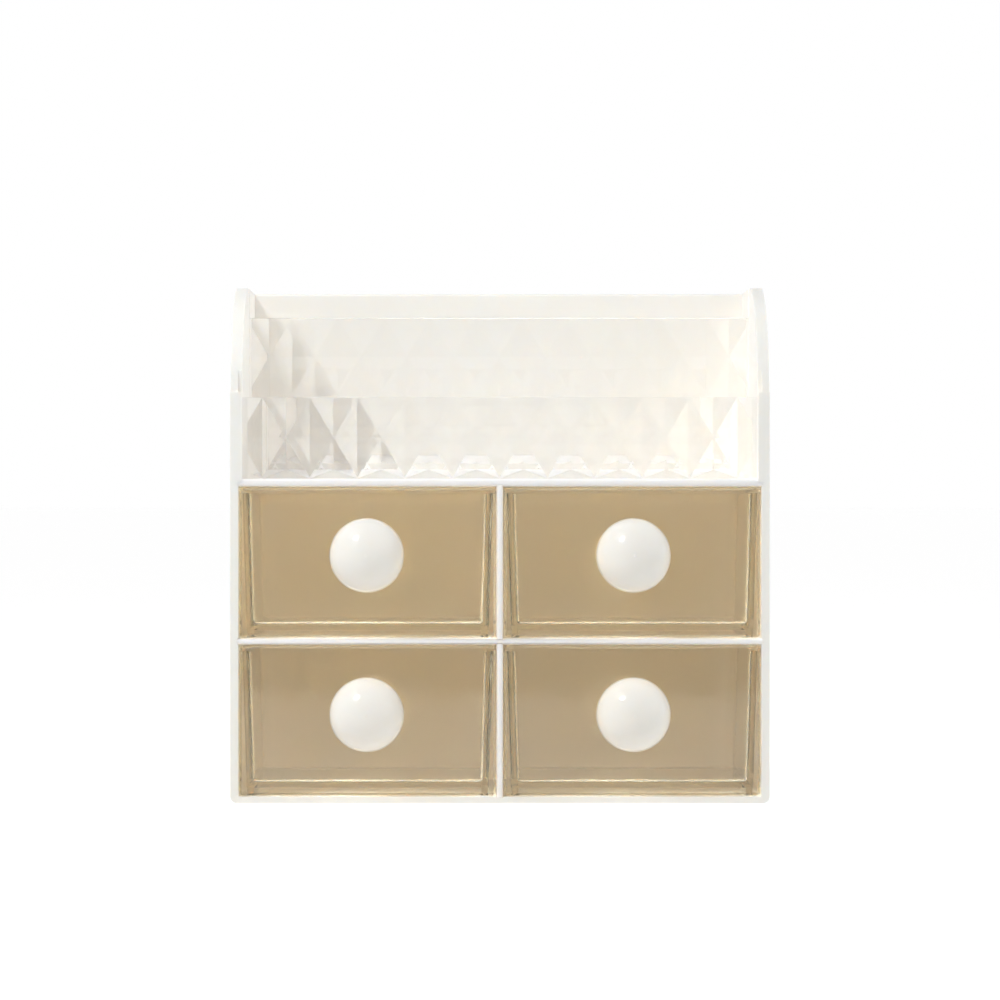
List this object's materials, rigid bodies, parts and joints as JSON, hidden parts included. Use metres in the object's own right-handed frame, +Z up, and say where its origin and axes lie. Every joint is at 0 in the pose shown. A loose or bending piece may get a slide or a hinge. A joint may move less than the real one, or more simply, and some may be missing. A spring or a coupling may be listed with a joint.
{
  "type": "desktop mini drawers",
  "caption": "White desktop housing with rows of translucent pull-out drawers on ball knobs, under an open tray behind a clear faceted fence and partition.",
  "frame": {"origin": "middle of the underside", "axes": "+X to the object's right seen from the front, -Y towards the front, +Z up"},
  "size_m": [0.18, 0.1246, 0.1739],
  "materials": {
    "housing_plastic": "warm white moulded styrene with a soft gloss",
    "clear_plastic": "clear moulded styrene, faceted on the front and smooth behind",
    "drawer_plastic": "tea-coloured translucent styrene with a soft gloss",
    "knob_plastic": "glossy warm white",
    "screw_steel": "plain zinc-plated steel"
  },
  "bodies": {
    "housing": {"outer_shell": "housing_plastic", "back_panel": "housing_plastic", "top_deck": "housing_plastic", "middle_shelf": "housing_plastic", "upper_divider": "housing_plastic", "lower_divider": "housing_plastic"},
    "fence": {"front_fence": "clear_plastic"},
    "partition": {"middle_partition": "clear_plastic"},
    "upper_left": {"upper_left_drawer": "drawer_plastic", "upper_left_knob": "knob_plastic", "upper_left_knob_screw": "screw_steel"},
    "upper_right": {"upper_right_drawer": "drawer_plastic", "upper_right_knob": "knob_plastic", "upper_right_knob_screw": "screw_steel"},
    "lower_left": {"lower_left_drawer": "drawer_plastic", "lower_left_knob": "knob_plastic", "lower_left_knob_screw": "screw_steel"},
    "lower_right": {"lower_right_drawer": "drawer_plastic", "lower_right_knob": "knob_plastic", "lower_right_knob_screw": "screw_steel"}
  },
  "joints": [
    {"name": "upper_left_slide", "type": "slide", "parent": "housing", "child": "upper_left", "axis": [0, -1, 0], "range_m": [0, 0.08]},
    {"name": "upper_right_slide", "type": "slide", "parent": "housing", "child": "upper_right", "axis": [0, -1, 0], "range_m": [0, 0.08]},
    {"name": "lower_left_slide", "type": "slide", "parent": "housing", "child": "lower_left", "axis": [0, -1, 0], "range_m": [0, 0.08]},
    {"name": "lower_right_slide", "type": "slide", "parent": "housing", "child": "lower_right", "axis": [0, -1, 0], "range_m": [0, 0.08]},
    {"name": "fence_lift", "type": "slide", "parent": "housing", "child": "fence", "axis": [0, 0, 1], "range_m": [0, 0.029]},
    {"name": "partition_lift", "type": "slide", "parent": "housing", "child": "partition", "axis": [0, 0, 1], "range_m": [0, 0.066]}
  ]
}
